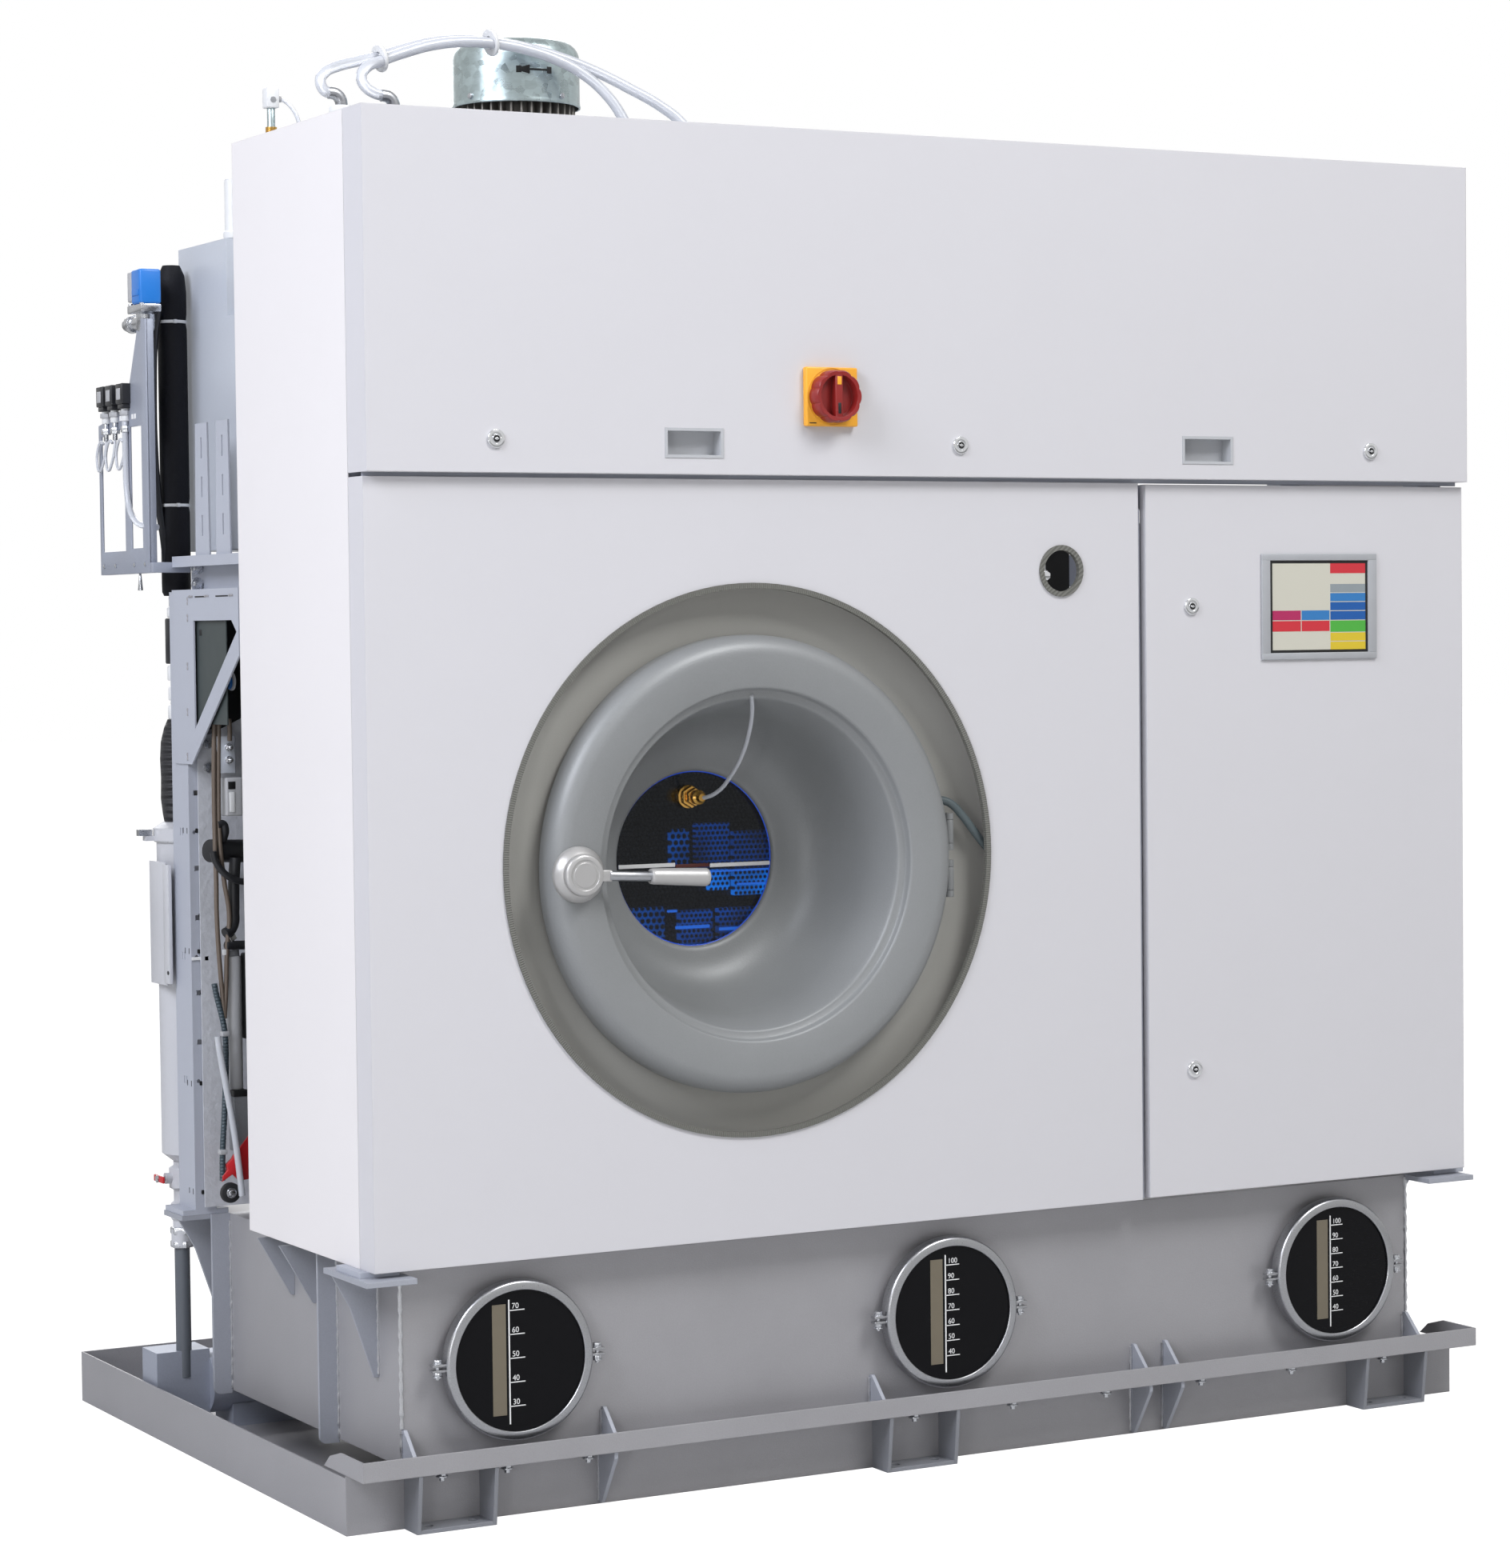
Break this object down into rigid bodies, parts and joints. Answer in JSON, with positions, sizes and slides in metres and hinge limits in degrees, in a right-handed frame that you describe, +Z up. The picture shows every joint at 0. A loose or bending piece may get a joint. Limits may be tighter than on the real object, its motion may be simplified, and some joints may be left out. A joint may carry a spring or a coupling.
{
  "type": "dry cleaning machine",
  "caption": "Front-loading dry cleaning machine: sheet-metal cabinet with a round glazed door over solvent tanks with sight glasses, standing in a drip tray.",
  "frame": {"origin": "centre of the drip tray's underside, on the floor", "axes": "+X to the viewer's right, +Y to the rear, +Z up; the loading door faces -Y"},
  "size_m": [2.022, 1.2485, 2.173],
  "materials": {
    "drip_tray": "silver-grey satin paint",
    "front_rail": "silver-grey satin paint",
    "front_feet": "silver-grey satin paint",
    "base_gussets": "silver-grey satin paint",
    "tank_shell": "silver-grey satin paint",
    "sight_flanges": "silver-grey satin paint",
    "sight_panes": "dark polished glass",
    "sight_clamps": "zinc plated",
    "base_fasteners": "zinc plated",
    "frame_columns": "galvanised sheet",
    "frame_rails": "galvanised sheet",
    "side_panels": "off-white powder coat",
    "lower_front_panel": "off-white powder coat",
    "edge_trims": "ribbed grey edge trim",
    "top_tray": "galvanised sheet",
    "outer_drum": "warm grey paint",
    "bearing_housing": "grey cast iron",
    "drum_bearings": "ground steel",
    "drum_cage": "satin stainless steel",
    "drum_lifters": "satin stainless steel",
    "drum_shaft": "turned steel",
    "drum_pulley": "dark cast iron",
    "drive_belt": "black rubber",
    "drum_motor": "blue motor paint",
    "motor_pulley": "dark cast iron",
    "door_ring": "grey satin casting",
    "door_glass": "clear thick glass",
    "door_gasket": "black rubber",
    "door_hinge": "grey satin paint",
    "handle_hub": "satin silver",
    "door_lever": "satin silver",
    "door_tube": "brass fitting with clear tube",
    "door_hose": "grey hose",
    "upper_cover": "off-white powder coat",
    "panel_hinges": "zinc plated",
    "cover_grips": "grey plastic",
    "cover_lock_barrels": "bright chrome",
    "lock_core_left": "bright chrome",
    "lock_core_middle": "bright chrome",
    "lock_core_right": "bright chrome",
    "switch_plate": "yellow plastic",
    "switch_knob": "dark red plastic",
    "control_door": "off-white powder coat",
    "control_lock_barrels": "bright chrome",
    "lock_core_upper": "bright chrome",
    "lock_core_lower": "bright chrome",
    "hmi_panel": "grey bezel with a lit screen",
    "control_plate": "galvanised plate",
    "fan_housing": "galvanised sheet",
    "fan_motor": "cast aluminium with a galvanised cowl",
    "fan_impeller": "cast aluminium",
    "air_ducts": "galvanised sheet",
    "filter_vessel": "light grey paint",
    "clamp_lever": "zinc plated",
    "valve_handle": "red paint",
    "insulated_pipe": "black foam insulation",
    "valve_bracket": "grey paint",
    "top_hoses": "clear plastic hose",
    "solvent_still": "brushed stainless steel",
    "solvent_pump": "grey paint"
  },
  "bodies": {
    "machine": {"drip_tray": "drip_tray", "front_rail": "front_rail", "front_feet": "front_feet", "base_gussets": "base_gussets", "tank_shell": "tank_shell", "sight_flanges": "sight_flanges", "sight_panes": "sight_panes", "sight_clamps": "sight_clamps", "base_fasteners": "base_fasteners", "frame_columns": "frame_columns", "frame_rails": "frame_rails", "side_panels": "side_panels", "lower_front_panel": "lower_front_panel", "edge_trims": "edge_trims", "top_tray": "top_tray", "outer_drum": "outer_drum", "bearing_housing": "bearing_housing", "drum_bearings": "drum_bearings", "drive_belt": "drive_belt", "drum_motor": "drum_motor", "door_hinge": "door_hinge", "door_hose": "door_hose", "panel_hinges": "panel_hinges", "control_plate": "control_plate", "fan_housing": "fan_housing", "fan_motor": "fan_motor", "air_ducts": "air_ducts", "filter_vessel": "filter_vessel", "insulated_pipe": "insulated_pipe", "valve_bracket": "valve_bracket", "top_hoses": "top_hoses", "solvent_still": "solvent_still", "solvent_pump": "solvent_pump"},
    "loading_door": {"door_ring": "door_ring", "door_glass": "door_glass", "door_gasket": "door_gasket", "handle_hub": "handle_hub", "door_tube": "door_tube"},
    "lever": {"door_lever": "door_lever"},
    "cover": {"upper_cover": "upper_cover", "cover_grips": "cover_grips", "cover_lock_barrels": "cover_lock_barrels", "switch_plate": "switch_plate"},
    "knob": {"switch_knob": "switch_knob"},
    "core_left": {"lock_core_left": "lock_core_left"},
    "core_middle": {"lock_core_middle": "lock_core_middle"},
    "core_right": {"lock_core_right": "lock_core_right"},
    "side_door": {"control_door": "control_door", "control_lock_barrels": "control_lock_barrels", "hmi_panel": "hmi_panel"},
    "core_upper": {"lock_core_upper": "lock_core_upper"},
    "core_lower": {"lock_core_lower": "lock_core_lower"},
    "drum": {"drum_cage": "drum_cage", "drum_lifters": "drum_lifters", "drum_shaft": "drum_shaft", "drum_pulley": "drum_pulley"},
    "motor_rotor": {"motor_pulley": "motor_pulley"},
    "impeller": {"fan_impeller": "fan_impeller"},
    "clamp": {"clamp_lever": "clamp_lever"},
    "valve_lever": {"valve_handle": "valve_handle"}
  },
  "joints": [
    {"name": "loading_door_hinge", "type": "hinge", "parent": "machine", "child": "loading_door", "pos_m": [0.009, -0.6, 0.938], "axis": [0, 0, 1], "range_deg": [0, 105], "deforming": ["door_hose"]},
    {"name": "door_lever_turn", "type": "hinge", "parent": "loading_door", "child": "lever", "pos_m": [-0.644, -0.64, 0.936], "axis": [0, -1, 0], "range_deg": [0, 75]},
    {"name": "cover_hinge", "type": "hinge", "parent": "machine", "child": "cover", "pos_m": [0.014, -0.5665, 2.032], "axis": [-1, 0, 0], "range_deg": [0, 85]},
    {"name": "main_switch_turn", "type": "hinge", "parent": "cover", "child": "knob", "pos_m": [-0.216, -0.655, 1.633], "axis": [0, 1, 0], "range_deg": [0, 90]},
    {"name": "lock_left_turn", "type": "hinge", "parent": "cover", "child": "core_left", "pos_m": [-0.764, -0.635, 1.564], "axis": [0, 1, 0], "range_deg": [0, 90]},
    {"name": "lock_middle_turn", "type": "hinge", "parent": "cover", "child": "core_middle", "pos_m": [0.014, -0.635, 1.564], "axis": [0, 1, 0], "range_deg": [0, 90]},
    {"name": "lock_right_turn", "type": "hinge", "parent": "cover", "child": "core_right", "pos_m": [0.793, -0.635, 1.564], "axis": [0, 1, 0], "range_deg": [0, 90]},
    {"name": "side_door_hinge", "type": "hinge", "parent": "machine", "child": "side_door", "pos_m": [0.983, -0.597, 0.945], "axis": [0, 0, 1], "range_deg": [0, 110]},
    {"name": "lock_upper_turn", "type": "hinge", "parent": "side_door", "child": "core_upper", "pos_m": [0.45, -0.62, 1.316], "axis": [0, -1, 0], "range_deg": [0, 90]},
    {"name": "lock_lower_turn", "type": "hinge", "parent": "side_door", "child": "core_lower", "pos_m": [0.45, -0.62, 0.581], "axis": [0, -1, 0], "range_deg": [0, 90]},
    {"name": "drum_spin", "type": "hinge", "parent": "machine", "child": "drum", "pos_m": [-0.342, 0.11, 0.938], "axis": [0, 1, 0], "continuous": true},
    {"name": "motor_spin", "type": "hinge", "parent": "machine", "child": "motor_rotor", "pos_m": [0.06, 0.2, 0.47], "axis": [0, 1, 0], "continuous": true},
    {"name": "fan_spin", "type": "hinge", "parent": "machine", "child": "impeller", "pos_m": [-0.59, -0.35, 1.9], "axis": [0, 0, 1], "continuous": true},
    {"name": "clamp_lever_turn", "type": "hinge", "parent": "machine", "child": "clamp", "pos_m": [-0.975, 0.256, 0.97], "axis": [0, 0, -1], "range_deg": [0, 90]},
    {"name": "valve_turn", "type": "hinge", "parent": "machine", "child": "valve_lever", "pos_m": [-0.962, 0.242, 0.414], "axis": [1, 0, 0], "range_deg": [0, 90]}
  ],
  "couplings": [
    {"joint": "motor_spin", "follows": "drum_spin", "ratio": 4}
  ]
}
